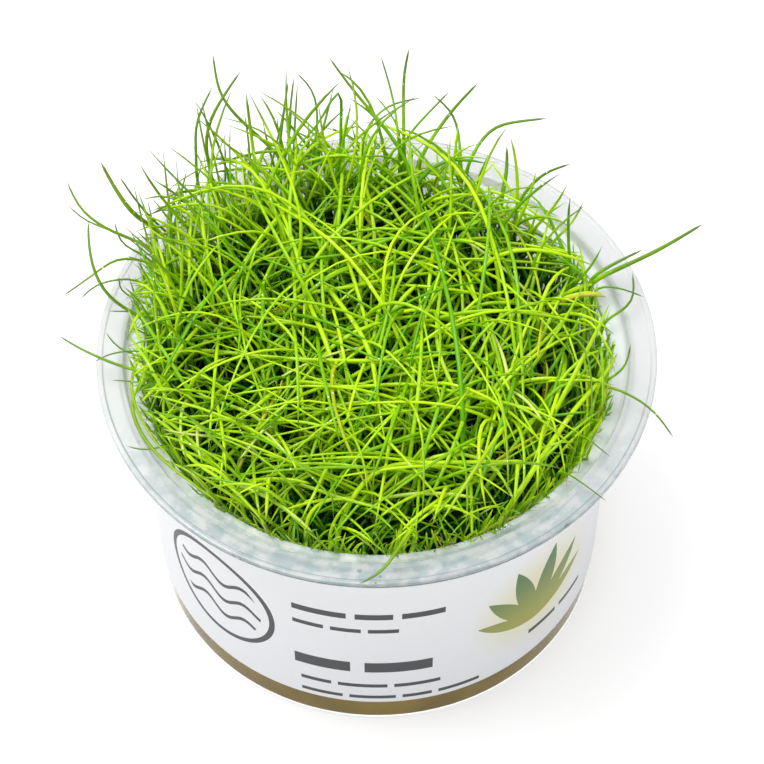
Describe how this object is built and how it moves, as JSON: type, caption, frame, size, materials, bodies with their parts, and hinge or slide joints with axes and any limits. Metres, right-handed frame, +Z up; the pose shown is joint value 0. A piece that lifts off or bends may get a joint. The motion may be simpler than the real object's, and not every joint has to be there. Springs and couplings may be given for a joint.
{
  "type": "dwarf hairgrass",
  "caption": "Fine green aquarium grass in separate tufts on tan growth gel, standing in a clear flanged plastic cup with a white sleeve label, its longest blades arching past the rim.",
  "frame": {"origin": "centre of the cup's flat underside, where it rests", "axes": "+Z up along the cup's axis, -Y towards the side the picture is taken from"},
  "size_m": [0.11, 0.097, 0.082],
  "materials": {
    "clear_plastic": "clear smooth moulded plastic",
    "label_white": "white satin printed sleeve",
    "tan_gel": "moist cloudy tan gel",
    "grass_green": "satin yellow-green living blades"
  },
  "bodies": {
    "root": {"cup": "clear_plastic", "label": "label_white", "growth_gel": "tan_gel", "tuft_centre": "grass_green", "tuft_inner_1": "grass_green", "tuft_inner_2": "grass_green", "tuft_inner_3": "grass_green", "tuft_inner_4": "grass_green", "tuft_inner_5": "grass_green", "tuft_inner_6": "grass_green", "tuft_middle_1": "grass_green", "tuft_middle_2": "grass_green", "tuft_middle_3": "grass_green", "tuft_middle_4": "grass_green", "tuft_middle_5": "grass_green", "tuft_middle_6": "grass_green", "tuft_middle_7": "grass_green", "tuft_middle_8": "grass_green", "tuft_middle_9": "grass_green", "tuft_middle_10": "grass_green", "tuft_middle_11": "grass_green", "tuft_middle_12": "grass_green", "tuft_outer_1": "grass_green", "tuft_outer_2": "grass_green", "tuft_outer_3": "grass_green", "tuft_outer_4": "grass_green", "tuft_outer_5": "grass_green", "tuft_outer_6": "grass_green", "tuft_outer_7": "grass_green", "tuft_outer_8": "grass_green", "tuft_outer_9": "grass_green", "tuft_outer_10": "grass_green", "tuft_outer_11": "grass_green", "tuft_outer_12": "grass_green", "tuft_outer_13": "grass_green", "tuft_outer_14": "grass_green", "tuft_outer_15": "grass_green", "tuft_outer_16": "grass_green", "tuft_outer_17": "grass_green", "tuft_outer_18": "grass_green"}
  },
  "joints": []
}
